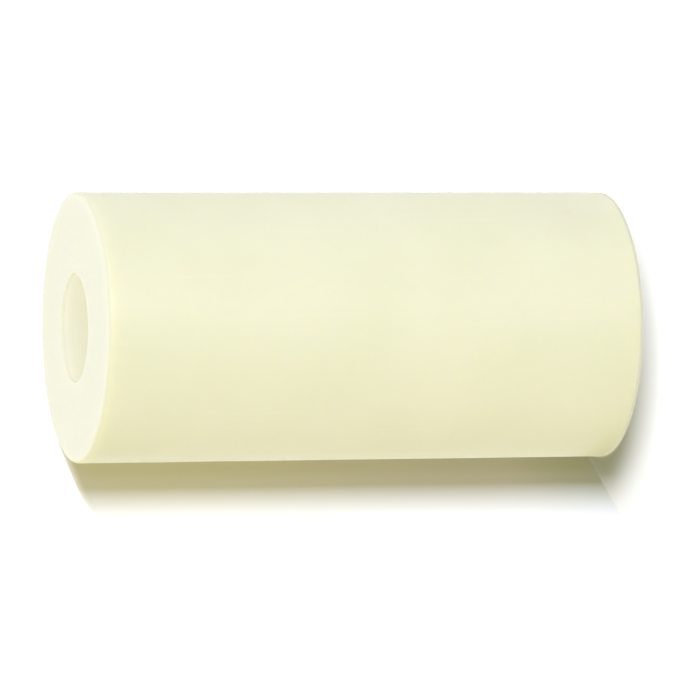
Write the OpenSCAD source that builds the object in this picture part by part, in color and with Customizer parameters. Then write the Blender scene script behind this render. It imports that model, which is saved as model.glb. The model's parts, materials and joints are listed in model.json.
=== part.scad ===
// Plain round spacer: a length of nylon rod with a clearance hole for a screw through it.
// It is one solid. It stands on one end, with the origin in the middle of that end
// and +Z along the bore. All sizes are in millimetres.

/* [Body] */
// Outside diameter of the rod
outer_d = 12.4; // [10:0.1:16]
// Distance between the two faced ends, which is the gap that the spacer keeps
length = 25.4; // [5:0.1:60]
// Width of the 45 degree edge break round each outer rim
rim_break = 0.15; // [0.05:0.05:0.4]

/* [Bore] */
// Diameter of the hole for the screw
bore_d = 4.93; // [3:0.01:8]
// Width of the 45 degree deburring cut round each mouth of the bore
mouth_break = 0.1; // [0.05:0.05:0.4]

/* [Hidden] */
outer_r = outer_d / 2;
bore_r = bore_d / 2;
// Segments in a full turn: the facets stay under 0.01 mm deep
round_fn = 96;

// Half of the lengthwise section, from the bore wall (left) to the outside (right).
// Each of its four corners is cut back at 45 degrees.
module wall_section() {
    polygon([
        [bore_r + mouth_break, 0],
        [outer_r - rim_break, 0],
        [outer_r, rim_break],
        [outer_r, length - rim_break],
        [outer_r - rim_break, length],
        [bore_r + mouth_break, length],
        [bore_r, length - mouth_break],
        [bore_r, mouth_break],
    ]);
}

// The section turned round the bore's axis, as the part is on the lathe
module spacer() {
    color("#F2F1D6")
        rotate_extrude($fn = round_fn)
            wall_section();
}

spacer();
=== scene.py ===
"""A plain nylon spacer, standing on one end on a pale floor.

The solid comes from the frame. Here it gets the skin of the real thing: extruded nylon rod,
faced at both ends and drilled through, with every edge broken.
"""

import json
import math

import bmesh
import bpy
from mathutils import Matrix, Vector, noise


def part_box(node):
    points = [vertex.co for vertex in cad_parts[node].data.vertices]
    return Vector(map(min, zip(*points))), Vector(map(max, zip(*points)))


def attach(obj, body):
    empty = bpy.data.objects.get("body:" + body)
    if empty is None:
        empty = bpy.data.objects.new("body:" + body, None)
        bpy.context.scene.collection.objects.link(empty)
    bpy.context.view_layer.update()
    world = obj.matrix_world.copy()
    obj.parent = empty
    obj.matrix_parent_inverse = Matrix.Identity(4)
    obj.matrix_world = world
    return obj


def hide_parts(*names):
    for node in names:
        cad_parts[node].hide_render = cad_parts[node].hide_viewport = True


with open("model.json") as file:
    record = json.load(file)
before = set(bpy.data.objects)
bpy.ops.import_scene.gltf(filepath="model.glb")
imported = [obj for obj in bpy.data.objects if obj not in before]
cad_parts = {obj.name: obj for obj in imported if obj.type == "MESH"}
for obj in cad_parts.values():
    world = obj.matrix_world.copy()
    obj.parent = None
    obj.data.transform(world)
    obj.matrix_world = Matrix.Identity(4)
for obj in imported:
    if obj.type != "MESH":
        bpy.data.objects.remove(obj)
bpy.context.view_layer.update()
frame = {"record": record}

MM = 0.001

# ---------------------------------------------------------------- sizes, from the frame

low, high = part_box("spacer")
OUTER_R = round((high.x - low.x) / 2 / MM, 2)
LENGTH = (high.z - low.z) / MM
bore = next(m for m in frame["record"]["mounts"] if m["name"] == "bore")
BORE_R = bore["dims"]["r_mm"]
MOUTH_BREAK = (LENGTH - bore["dims"]["length_mm"]) / 2
# The outer rims are broken half as far again as the mouths, as in the solid
RIM_BREAK = 1.5 * MOUTH_BREAK

# How finely the skin is divided
TURN_STEPS = 320
SIDE_RINGS = 60
BORE_RINGS = 40
CORNER_STEPS = 6
RINGS_PER_FEED = 4

# How far apart the marks of the tools are, and how deep they go, in millimetres. These are
# usual values for turned and drilled nylon, not measured ones.
FACING_FEED = 0.18
FACING_DEPTH = 0.004
DRAW_LINE_DEPTH = 0.004
ROD_WAVE_DEPTH = 0.012
DRILL_FEED = 0.45
DRILL_DEPTH = 0.004
END_FADE = 0.5

# The nylon's colours. They were set together with the lamps further down, so each one is right
# under those lamps and isn't a measured colour of nylon.
SIDE_DEEP = "#EDEDD2"
SIDE_PALE = "#F0EFD6"
FACE_DEEP = "#EDEFEE"
FACE_PALE = "#F0F2F1"
# The bore's paler drilled tone, lightened further as painted light that keeps the bore from going
# dark
BORE_DEEP_LIGHTENED = "#FEFEDE"
BORE_PALE_LIGHTENED = "#FFFFE4"
LINE_PALE = "#F8F7E4"
# Painted shade on the edge breaks, which keeps the lamps from drawing a bright line there
EDGE_PAINTED_SHADE = "#E3E3D1"
RUB_GREY = "#8E8E86"

# How far light spreads in it, in millimetres for red, green and blue. The bore has a much
# longer distance than the outside, which keeps it from going dark. Neither is a measured value.
SCATTER_MM = (0.5, 0.45, 0.35)
WALL_SCATTER_MM = (16.0, 15.0, 12.0)
NYLON_IOR = 1.53

# Its gloss, the depth of its finest relief and the place of the one rub mark, in millimetres
SIDE_ROUGHNESS = 0.36
CUT_ROUGHNESS = 0.58
EDGE_ROUGHNESS = 0.85
ROUGHNESS_SPREAD = 0.10
RELIEF_DEPTH = 0.003
RUB_MARK = (5.16, -3.44, 2.72)


# ---------------------------------------------------------------- the turned skin


def corner(r_centre, z_centre, size, start, end):
    """Points of a rounded edge break: an arc of one radius between two angles, in degrees."""
    points = []
    for step in range(CORNER_STEPS + 1):
        angle = math.radians(start + (end - start) * step / CORNER_STEPS)
        points.append((r_centre + size * math.cos(angle), z_centre + size * math.sin(angle)))
    return points


def between(a, b, count):
    """The points inside a straight stretch that cut it into count equal steps."""
    steps = range(1, count)
    return [(a[0] + (b[0] - a[0]) * i / count, a[1] + (b[1] - a[1]) * i / count) for i in steps]


def wall_profile():
    """The closed section of the wall, (radius, height) in mm, starting at the lower bore mouth.

    Each point also says which surface it lies on: face, rim, side or bore.
    """
    face_rings = round((OUTER_R - BORE_R) / FACING_FEED * RINGS_PER_FEED)
    bottom_mouth = corner(BORE_R + MOUTH_BREAK, MOUTH_BREAK, MOUTH_BREAK, 180, 270)
    bottom_rim = corner(OUTER_R - RIM_BREAK, RIM_BREAK, RIM_BREAK, -90, 0)
    top_rim = corner(OUTER_R - RIM_BREAK, LENGTH - RIM_BREAK, RIM_BREAK, 0, 90)
    top_mouth = corner(BORE_R + MOUTH_BREAK, LENGTH - MOUTH_BREAK, MOUTH_BREAK, 90, 180)
    stretches = [
        ("rim", bottom_mouth),
        ("bottom_face", between(bottom_mouth[-1], bottom_rim[0], face_rings)),
        ("rim", bottom_rim),
        ("side", between(bottom_rim[-1], top_rim[0], SIDE_RINGS)),
        ("rim", top_rim),
        ("top_face", between(top_rim[-1], top_mouth[0], face_rings)),
        ("rim", top_mouth),
        ("bore", between(top_mouth[-1], bottom_mouth[0], BORE_RINGS)),
    ]
    return [(r, z, surface) for surface, points in stretches for r, z in points]


def scallop(turns):
    """The groove that a round-nosed tool leaves, from 0 at the ridges to 1 in the valleys."""
    across = turns % 1.0
    return 1 - (2 * across - 1) ** 2


def draw_lines(angle, z):
    """Shallow lines from the extrusion die, 0 to 1 deep, which drift slowly along the rod."""
    broad = noise.noise(Vector((6 * math.cos(angle), 6 * math.sin(angle), z / 60)))
    fine = noise.noise(Vector((22 * math.cos(angle), 22 * math.sin(angle), z / 40 + 9)))
    return min(1.0, max(0.0, 0.5 + 0.45 * broad + 0.55 * fine))


def marked(r, z, surface, angle):
    """Moves a point of the skin into the material by the depth of the marks on its surface."""
    if surface in ("top_face", "bottom_face"):
        depth = FACING_DEPTH * scallop(r / FACING_FEED + angle / math.tau)
        edge = min(r - BORE_R - MOUTH_BREAK, OUTER_R - RIM_BREAK - r)
        depth *= min(1.0, edge / FACING_FEED)
        z += depth if surface == "bottom_face" else -depth
    elif surface == "side":
        about = Vector((1.3 * math.cos(angle), 1.3 * math.sin(angle), z / 5))
        wave = 0.5 + 0.5 * noise.noise(about)
        fade = min(1.0, (z - RIM_BREAK) / END_FADE, (LENGTH - RIM_BREAK - z) / END_FADE)
        r -= fade * (DRAW_LINE_DEPTH * draw_lines(angle, z) + ROD_WAVE_DEPTH * wave)
    elif surface == "bore":
        fade = min(1.0, (z - MOUTH_BREAK) / END_FADE, (LENGTH - MOUTH_BREAK - z) / END_FADE)
        r += fade * DRILL_DEPTH * scallop(z / DRILL_FEED + angle / math.tau)
    return r, z


def turned_spacer():
    """The spacer's skin: the wall's section turned round the axis, with the marks of its making."""
    mesh = bmesh.new()
    profile = wall_profile()
    rings = []
    for r, z, surface in profile:
        ring = []
        for step in range(TURN_STEPS):
            angle = math.tau * step / TURN_STEPS
            r_marked, z_marked = marked(r, z, surface, angle)
            place = (r_marked * math.cos(angle), r_marked * math.sin(angle), z_marked)
            ring.append(mesh.verts.new(Vector(place) * MM))
        rings.append(ring)
    for ring, after in zip(rings, rings[1:] + rings[:1]):
        for step in range(TURN_STEPS):
            beside = (step + 1) % TURN_STEPS
            mesh.faces.new((ring[step], ring[beside], after[beside], after[step]))
    bmesh.ops.recalc_face_normals(mesh, faces=mesh.faces)
    data = bpy.data.meshes.new("turned_spacer")
    mesh.to_mesh(data)
    mesh.free()
    data.polygons.foreach_set("use_smooth", [True] * len(data.polygons))
    piece = bpy.data.objects.new("turned_spacer", data)
    bpy.context.scene.collection.objects.link(piece)
    return piece


# ---------------------------------------------------------------- materials


def linear(colour):
    """An sRGB hex colour as linear RGBA."""
    shares = [int(colour[i:i + 2], 16) / 255 for i in (1, 3, 5)]
    return [s / 12.92 if s <= 0.04045 else ((s + 0.055) / 1.055) ** 2.4 for s in shares] + [1.0]


def add(tree, kind, inputs=None, **settings):
    """Adds a node, gives it its settings, and fills or links the inputs that are named."""
    made = tree.nodes.new(kind)
    for name, value in settings.items():
        setattr(made, name, value)
    for name, value in (inputs or {}).items():
        if isinstance(value, bpy.types.NodeSocket):
            tree.links.new(value, made.inputs[name])
        else:
            made.inputs[name].default_value = value
    return made


def empty_material(name):
    """A material whose nodes are still to be added."""
    material = bpy.data.materials.new(name)
    material.use_nodes = True
    material.node_tree.nodes.clear()
    return material


def noise_at(tree, point, size_mm, detail=2.0, roughness=0.5):
    """Noise from 0 to 1 whose blotches are about size_mm across, on a point that is in mm."""
    made = add(
        tree,
        "ShaderNodeTexNoise",
        {"Vector": point, "Scale": 1 / size_mm, "Detail": detail, "Roughness": roughness},
    )
    return made.outputs[0]


def ramp(tree, value, start, end, low_out=0.0, high_out=1.0):
    """Smoothly takes a value from low_out at start to high_out at end."""
    made = add(
        tree,
        "ShaderNodeMapRange",
        {"Value": value, "From Min": start, "From Max": end, "To Min": low_out, "To Max": high_out},
        interpolation_type="SMOOTHSTEP",
    )
    return made.outputs[0]


def maths(tree, operation, *values):
    """One maths node on values or sockets."""
    made = add(tree, "ShaderNodeMath", dict(enumerate(values)), operation=operation)
    return made.outputs[0]


def blend(tree, share, colour, other):
    """The first colour where the share is 0, and the other where it is 1."""
    made = add(tree, "ShaderNodeMix", {0: share, 6: colour, 7: other}, data_type="RGBA")
    return made.outputs[2]


def mix_value(tree, share, value, other):
    """The same for plain values."""
    return add(tree, "ShaderNodeMix", {0: share, 2: value, 3: other}).outputs[0]


def natural_nylon():
    """Natural nylon 6/6 rod, extruded, faced at both ends and drilled.

    It is undyed and milky, and light goes some way into it, so it has no dark side and its
    bore stays bright. The extruded side is satin, with faint lines along it and a slightly
    uneven cream. The cut ends and the drilled bore are paler and more matt, because the tool
    leaves fine torn marks that scatter the light. The bore's colour is lightened further as
    painted light that keeps it from going dark, and the edge breaks get painted shade.
    """
    material = empty_material("natural_nylon_extruded_and_faced")
    tree = material.node_tree
    object_point = add(tree, "ShaderNodeTexCoord").outputs["Object"]
    point = add(tree, "ShaderNodeVectorMath", {0: object_point, "Scale": 1 / MM}, operation="SCALE")
    point = point.outputs["Vector"]
    flat = add(tree, "ShaderNodeVectorMath", {0: point, 1: (1, 1, 0)}, operation="MULTIPLY")
    radius = add(tree, "ShaderNodeVectorMath", {0: flat.outputs["Vector"]}, operation="LENGTH")
    radius = radius.outputs["Value"]
    height = add(tree, "ShaderNodeSeparateXYZ", {0: point}).outputs["Z"]
    from_middle = maths(tree, "ABSOLUTE", maths(tree, "SUBTRACT", height, LENGTH / 2))
    from_end = maths(tree, "SUBTRACT", LENGTH / 2, from_middle)

    # Where the cut ends and the drilled bore are, 0 to 1
    faced = ramp(tree, from_end, 0.02, RIM_BREAK, 1.0, 0.0)
    drilled = ramp(tree, radius, BORE_R + 0.02, BORE_R + MOUTH_BREAK, 1.0, 0.0)
    machined = maths(tree, "MAXIMUM", faced, drilled)
    # The edge breaks are rougher, and painted shade makes them a little darker, so that they draw
    # no bright line
    past_face = ramp(tree, from_end, 0.008, 0.02)
    short_of_side = ramp(tree, from_end, 0.13, 0.16, 1.0, 0.0)
    on_edge = maths(tree, "MULTIPLY", past_face, short_of_side)

    # Extruded side: lines 0.35 mm apart drawn out along the rod, and clouds about 5 mm across
    drawn = add(tree, "ShaderNodeVectorMath", {0: point, 1: (1, 1, 0.03)}, operation="MULTIPLY")
    lines = noise_at(tree, drawn.outputs["Vector"], 0.35, detail=3.0, roughness=0.6)
    clouds = noise_at(tree, point, 5.0, detail=2.0)
    grain = noise_at(tree, point, 0.12, detail=2.0, roughness=0.6)

    # Cut ends: tool marks in rings, which is noise along the radius alone
    across = add(tree, "ShaderNodeCombineXYZ", {"X": radius})
    rings = noise_at(tree, across.outputs[0], 0.14, detail=2.0)
    # Drilled bore: fine rings along its depth
    deep = add(tree, "ShaderNodeCombineXYZ", {"X": height})
    bore_rings = noise_at(tree, deep.outputs[0], 0.25, detail=3.0, roughness=0.6)

    side_colour = blend(tree, ramp(tree, clouds, 0.3, 0.7), linear(SIDE_DEEP), linear(SIDE_PALE))
    line_share = ramp(tree, lines, 0.55, 0.85, 0.0, 0.35)
    side_colour = blend(tree, line_share, side_colour, linear(LINE_PALE))
    cut_tone = ramp(tree, maths(tree, "ADD", grain, rings), 0.7, 1.3)
    face_colour = blend(tree, cut_tone, linear(FACE_DEEP), linear(FACE_PALE))
    # The bore's colour: its paler drilled tone with painted light that keeps it from going dark
    bore_tone = ramp(tree, bore_rings, 0.3, 0.7)
    bore_colour_lightened = blend(tree, bore_tone, linear(BORE_DEEP_LIGHTENED), linear(BORE_PALE_LIGHTENED))
    colour = blend(tree, faced, side_colour, face_colour)
    colour = blend(tree, drilled, colour, bore_colour_lightened)

    # A faint grey rub mark near the lower end, and a slightly greyer patch round it
    away = add(tree, "ShaderNodeVectorMath", {0: point, 1: RUB_MARK}, operation="DISTANCE")
    ragged = maths(tree, "MULTIPLY_ADD", noise_at(tree, point, 0.3), 0.35, away.outputs["Value"])
    rub = ramp(tree, ragged, 0.20, 0.55, 0.10, 0.0)
    wide = maths(tree, "MULTIPLY_ADD", noise_at(tree, point, 1.6), 1.6, away.outputs["Value"])
    dull = ramp(tree, wide, 1.2, 4.2, 0.05, 0.0)
    colour = blend(tree, maths(tree, "MAXIMUM", rub, dull), colour, linear(RUB_GREY))
    # Painted shade: the edge breaks are darkened so that the lamps draw no bright line on them
    colour = blend(tree, on_edge, colour, linear(EDGE_PAINTED_SHADE))

    side_relief = maths(tree, "MULTIPLY_ADD", grain, 0.35, lines)
    face_relief = maths(tree, "MULTIPLY_ADD", grain, 0.5, rings)
    bore_relief = maths(tree, "MULTIPLY_ADD", grain, 0.5, bore_rings)
    relief = mix_value(tree, faced, side_relief, face_relief)
    relief = mix_value(tree, drilled, relief, bore_relief)
    bump = add(
        tree,
        "ShaderNodeBump",
        {"Height": relief, "Strength": 1.0, "Distance": RELIEF_DEPTH * MM},
    )

    side_base = SIDE_ROUGHNESS - ROUGHNESS_SPREAD / 2
    cut_base = CUT_ROUGHNESS - ROUGHNESS_SPREAD / 2
    side_gloss = maths(tree, "MULTIPLY_ADD", lines, ROUGHNESS_SPREAD, side_base)
    cut_gloss = maths(tree, "MULTIPLY_ADD", grain, ROUGHNESS_SPREAD, cut_base)
    roughness = mix_value(tree, machined, side_gloss, cut_gloss)
    roughness = mix_value(tree, on_edge, roughness, EDGE_ROUGHNESS)
    scatter = blend(tree, drilled, SCATTER_MM + (1.0,), WALL_SCATTER_MM + (1.0,))
    skin = add(
        tree,
        "ShaderNodeBsdfPrincipled",
        {
            "Base Color": colour,
            "Roughness": roughness,
            "Normal": bump.outputs["Normal"],
            "IOR": NYLON_IOR,
            "Subsurface Weight": 1.0,
            "Subsurface Radius": scatter,
            "Subsurface Scale": MM,
        },
    )
    add(tree, "ShaderNodeOutputMaterial", {"Surface": skin.outputs["BSDF"]})
    return material


def show_white(tree):
    """1 for the camera and for what mirrors or glass would show of the studio, 0 for its light."""
    rays = add(tree, "ShaderNodeLightPath")
    seen = maths(tree, "MAXIMUM", rays.outputs["Is Camera Ray"], rays.outputs["Is Glossy Ray"])
    return maths(tree, "MAXIMUM", seen, rays.outputs["Is Transmission Ray"])


def lifted_paper(tree, lift):
    """Matt paper that also glows by the lift, so that its shadows are never darker than that."""
    paper = add(tree, "ShaderNodeBsdfDiffuse", {"Color": PAPER})
    glow = add(tree, "ShaderNodeEmission", {"Color": lift, "Strength": 1.0})
    return add(tree, "ShaderNodeAddShader", {0: paper.outputs[0], 1: glow.outputs[0]})


def floor_white():
    """The floor's paper. The camera sees its shadows, but the light that it sends back is even."""
    material = empty_material("studio_floor")
    tree = material.node_tree
    even = add(tree, "ShaderNodeEmission", {"Color": FLOOR_TINT, "Strength": FLOOR_BOUNCE})
    seen = lifted_paper(tree, FLOOR_LIFT)
    surface = add(
        tree,
        "ShaderNodeMixShader",
        {0: show_white(tree), 1: even.outputs[0], 2: seen.outputs[0]},
    )
    add(tree, "ShaderNodeOutputMaterial", {"Surface": surface.outputs[0]})
    return material


def side_sheet_white():
    """The same paper for the side sheet, clear from behind.

    Near the top a painted white glow fades its shadow out, and near the floor a weaker glow
    paints its shadow darker.
    """
    material = empty_material("studio_side_sheet")
    tree = material.node_tree
    side = add(tree, "ShaderNodeNewGeometry")
    place = add(tree, "ShaderNodeSeparateXYZ", {0: side.outputs["Position"]})
    height = place.outputs["Z"]
    # Painted shade: towards the floor the glow drops to the floor's, which darkens the shadow there
    lift = blend(tree, ramp(tree, height, 0.0, PAINTED_SHADE_HEIGHT * MM), FLOOR_LIFT, SIDE_LIFT)
    # Painted light: near the top a white glow fades the shadow out
    shadow_painted_out = ramp(tree, height, SHADOW_FULL * MM, SHADOW_GONE * MM)
    seen = lifted_paper(tree, blend(tree, shadow_painted_out, lift, linear("#FFFFFF")))
    clear = add(tree, "ShaderNodeBsdfTransparent")
    surface = add(
        tree,
        "ShaderNodeMixShader",
        {0: side.outputs["Backfacing"], 1: seen.outputs[0], 2: clear.outputs[0]},
    )
    add(tree, "ShaderNodeOutputMaterial", {"Surface": surface.outputs[0]})
    return material


# ---------------------------------------------------------------- studio

# The camera looks at the upper end from VIEW_DROP degrees above the horizon, rolled a quarter
# turn, so that the spacer lies across the picture with its upper end to the left. It leans a
# little more than that, by VIEW_LEAN degrees. The last two say where the upper end's rim is.
VIEW_DROP = 16.79
VIEW_LEAN = -0.45
FOCAL_PX = 6000
PICTURE_PX = 700
SENSOR_MM = 36
TOP_CENTRE_PX = (74.17, 327.94)
TOP_RADIUS_PX = 135.52

# The floor, and the side sheet that the spacer seems to lie on, in metres. The side sheet
# stands on edge, and its normal is turned this many degrees away from +X.
FLOOR_SIZE = 3.0
SIDE_SHEET_SIZE = 0.08
SIDE_SHEET_TURN = 31.0

# Their paper, grey because its lamps are strong enough to bring it to white, and the glow that
# keeps its shadows light. On the side sheet the glow is the floor's at the floor and its own from
# the first height on, which paints the shadow darker near the floor, and between the other two
# heights a painted white glow fades the shadow out, in mm.
PAPER = (0.2, 0.2, 0.2, 1.0)
FLOOR_LIFT = (0.10, 0.10, 0.03, 1.0)
SIDE_LIFT = (0.19, 0.16, 0.09, 1.0)
PAINTED_SHADE_HEIGHT = 5.0
SHADOW_FULL = LENGTH - 0.45
SHADOW_GONE = LENGTH + 0.55

# The light that the sky, the paper beside the spacer and the floor send to it
CLEAR_SKY = (0.90, 0.90, 0.895, 1.0)
WARM_BOUNCE = (1.07, 1.01, 0.645, 1.0)
FLOOR_TINT = (1.0, 0.985, 0.88, 1.0)
FLOOR_BOUNCE = 0.64

# The lamps that light the spacer. Their shares were found by trial, surface by surface.
NEAR_END_WATTS = 0.024
LOW_WATTS = 0.13
FRONT_WATTS = 0.135
LOW_LAMP = "#D8E4FF"

# The lamps that light only the paper: two that cast its shadows, a faint one under the spacer
# that takes away the dark line at its lower rim, and a faint one that warms the shadow beside it
SHEET_WATTS = 425
SHEET_LAMP = "#E8EEFF"
FLOOR_WATTS = 1480
FLOOR_LAMP = "#F4F4FF"
EDGE_WATTS = 0.0011
EDGE_LAMP = "#FFF6D8"
GLOW_WATTS = 0.0042
GLOW_LAMP = "#FFF17C"


def make_camera():
    """Places the camera so that the upper end's rim falls where it is asked to in the picture."""
    drop = math.radians(VIEW_DROP)
    lean = math.radians(VIEW_LEAN)
    forward = Vector((0, math.cos(drop), -math.sin(drop)))
    level_right = Vector((1, 0, 0))
    level_up = Vector((0, math.sin(drop), math.cos(drop)))
    up = level_right * math.cos(lean) + level_up * math.sin(lean)
    right = level_right * math.sin(lean) - level_up * math.cos(lean)
    distance = FOCAL_PX / TOP_RADIUS_PX * OUTER_R * MM
    across = (TOP_CENTRE_PX[0] - PICTURE_PX / 2) / FOCAL_PX * distance
    down = (TOP_CENTRE_PX[1] - PICTURE_PX / 2) / FOCAL_PX * distance
    top_centre = Vector((0, 0, LENGTH * MM))
    place = top_centre - right * across + up * down - forward * distance
    data = bpy.data.cameras.new("camera")
    data.sensor_width = SENSOR_MM
    data.lens = FOCAL_PX / PICTURE_PX * SENSOR_MM
    data.clip_start = 0.01
    data.clip_end = 10
    camera = bpy.data.objects.new("camera", data)
    turn = Matrix((right, up, -forward)).transposed().to_4x4()
    camera.matrix_world = Matrix.Translation(place) @ turn
    bpy.context.scene.collection.objects.link(camera)
    bpy.context.scene.camera = camera


def sheet(name, size, matrix, material):
    """A flat square of backdrop, facing along its own +Z."""
    half = size / 2
    data = bpy.data.meshes.new(name)
    corners = [(-half, -half, 0), (half, -half, 0), (half, half, 0), (-half, half, 0)]
    data.from_pydata(corners, [], [(0, 1, 2, 3)])
    data.materials.append(material)
    piece = bpy.data.objects.new(name, data)
    piece.matrix_world = matrix
    bpy.context.scene.collection.objects.link(piece)
    return piece


def area_light(name, direction, distance, size, power, colour="#FFFFFF", height=None):
    """A soft box that looks at the middle of the spacer from a direction."""
    data = bpy.data.lights.new(name, "AREA")
    data.shape = "RECTANGLE"
    data.size = size
    data.size_y = height or size
    data.energy = power
    data.color = linear(colour)[:3]
    lamp = bpy.data.objects.new(name, data)
    aim = Vector((0, 0, LENGTH * MM / 2))
    towards = Vector(direction).normalized()
    lamp.location = aim + towards * distance
    lamp.rotation_mode = "QUATERNION"
    lamp.rotation_quaternion = towards.to_track_quat("Z", "Y")
    lamp.visible_camera = False
    bpy.context.scene.collection.objects.link(lamp)
    return lamp


def link_lamp(lamp, receiver, blocker):
    """The lamp then lights one object only, and only one other object shades it."""
    lit = bpy.data.collections.new(lamp.name + "_lights")
    lit.objects.link(receiver)
    shading = bpy.data.collections.new(lamp.name + "_shaded_by")
    shading.objects.link(blocker)
    lamp.light_linking.receiver_collection = lit
    lamp.light_linking.blocker_collection = shading


def make_world(sheet_normal):
    """White for the camera and for reflections.

    As light it is warmer from the side of the side sheet, which sets how far the spacer's
    shaded side turns yellow.
    """
    world = bpy.data.worlds.new("studio")
    bpy.context.scene.world = world
    world.use_nodes = True
    tree = world.node_tree
    tree.nodes.clear()
    sky = add(tree, "ShaderNodeTexCoord")
    from_sheet = add(
        tree,
        "ShaderNodeVectorMath",
        {0: sky.outputs["Generated"], 1: tuple(sheet_normal)},
        operation="DOT_PRODUCT",
    )
    share = ramp(tree, from_sheet.outputs["Value"], -0.35, 0.35)
    tint = blend(tree, share, WARM_BOUNCE, CLEAR_SKY)
    lit = add(tree, "ShaderNodeBackground", {"Color": tint, "Strength": 1.0})
    white = add(tree, "ShaderNodeBackground", {"Color": linear("#FFFFFF"), "Strength": 1.0})
    surface = add(
        tree,
        "ShaderNodeMixShader",
        {0: show_white(tree), 1: lit.outputs[0], 2: white.outputs[0]},
    )
    add(tree, "ShaderNodeOutputWorld", {"Surface": surface.outputs[0]})


make_camera()
bpy.context.scene.view_settings.view_transform = "Standard"

floor = sheet("floor", FLOOR_SIZE, Matrix.Identity(4), floor_white())

# The side sheet touches the spacer along one line, where it starts, and catches its shadow.
# Only the camera sees it, and only from the front, so it neither lights nor hides the spacer.
turn = math.radians(SIDE_SHEET_TURN)
sheet_normal = Vector((math.cos(turn), -math.sin(turn), 0))
sheet_along = Vector((-math.sin(turn), -math.cos(turn), 0))
sheet_middle = sheet_along * SIDE_SHEET_SIZE / 2 - sheet_normal * OUTER_R * MM
sheet_turn = sheet_normal.to_track_quat("Z", "Y").to_matrix().to_4x4()
sheet_place = Matrix.Translation(sheet_middle) @ sheet_turn
side_sheet = sheet("side_sheet", SIDE_SHEET_SIZE, sheet_place, side_sheet_white())
side_sheet.visible_diffuse = False
side_sheet.visible_glossy = False
side_sheet.visible_transmission = False
side_sheet.visible_shadow = False

make_world(sheet_normal)

# Each lamp has its direction from the middle of the spacer, and its distance and size in metres
area_light("near_end_softbox", (0.2, -0.35, 0.92), 0.30, 0.12, NEAR_END_WATTS)
area_light("low_softbox", (0.35, -0.8, 0.5), 0.30, 0.12, LOW_WATTS, LOW_LAMP)
area_light("front_lamp", (0.34, -0.94, 0.02), 0.30, 0.04, FRONT_WATTS)
sheet_direction = (0.785, -0.635, 0.022)
floor_direction = (0.076, 0.006, 1)
glow_direction = (0.573, -0.345, 0.743)
sheet_lamp = area_light("sheet_softbox", sheet_direction, 3.0, 1.8, SHEET_WATTS, SHEET_LAMP, 0.12)
floor_lamp = area_light("floor_softbox", floor_direction, 6.0, 1.1, FLOOR_WATTS, FLOOR_LAMP, 0.5)

# A disk just over the floor, under the spacer, which faces down
edge_lamp = area_light("edge_glow", (0, 0, -1), 0.01265, 0.0124, EDGE_WATTS, EDGE_LAMP)
edge_lamp.data.shape = "DISK"
edge_lamp.rotation_quaternion = (1, 0, 0, 0)
glow_lamp = area_light("sheet_glow", glow_direction, 0.0206, 0.008, GLOW_WATTS, GLOW_LAMP)

spacer = turned_spacer()
spacer.data.materials.append(natural_nylon())
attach(spacer, "root")
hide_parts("spacer")
link_lamp(sheet_lamp, side_sheet, spacer)
link_lamp(floor_lamp, floor, spacer)
link_lamp(edge_lamp, floor, side_sheet)
link_lamp(glow_lamp, side_sheet, floor)

bpy.context.view_layer.update()
